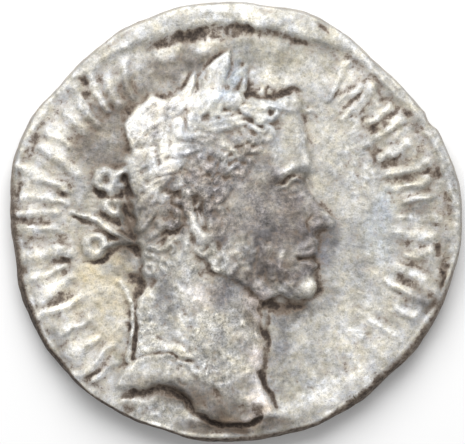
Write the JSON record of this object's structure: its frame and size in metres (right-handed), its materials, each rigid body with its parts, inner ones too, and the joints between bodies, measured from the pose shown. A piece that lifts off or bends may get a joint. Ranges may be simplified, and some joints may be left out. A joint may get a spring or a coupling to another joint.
{
  "type": "denarius coin",
  "caption": "Worn struck silver coin on an uneven flan: laureate bearded head in profile on one side, standing draped figure on the other.",
  "frame": {"origin": "centre of the coin's outline, on the table it lies on", "axes": "+Z out of the portrait side, +Y towards the top of the portrait's head, +X the way the portrait looks"},
  "size_m": [0.0178, 0.0172, 0.0021],
  "materials": {
    "silver": "worn, grainy old silver, cream to grey, with brown-black tarnish in the recesses"
  },
  "bodies": {
    "root": {"coin": "silver"}
  },
  "joints": []
}
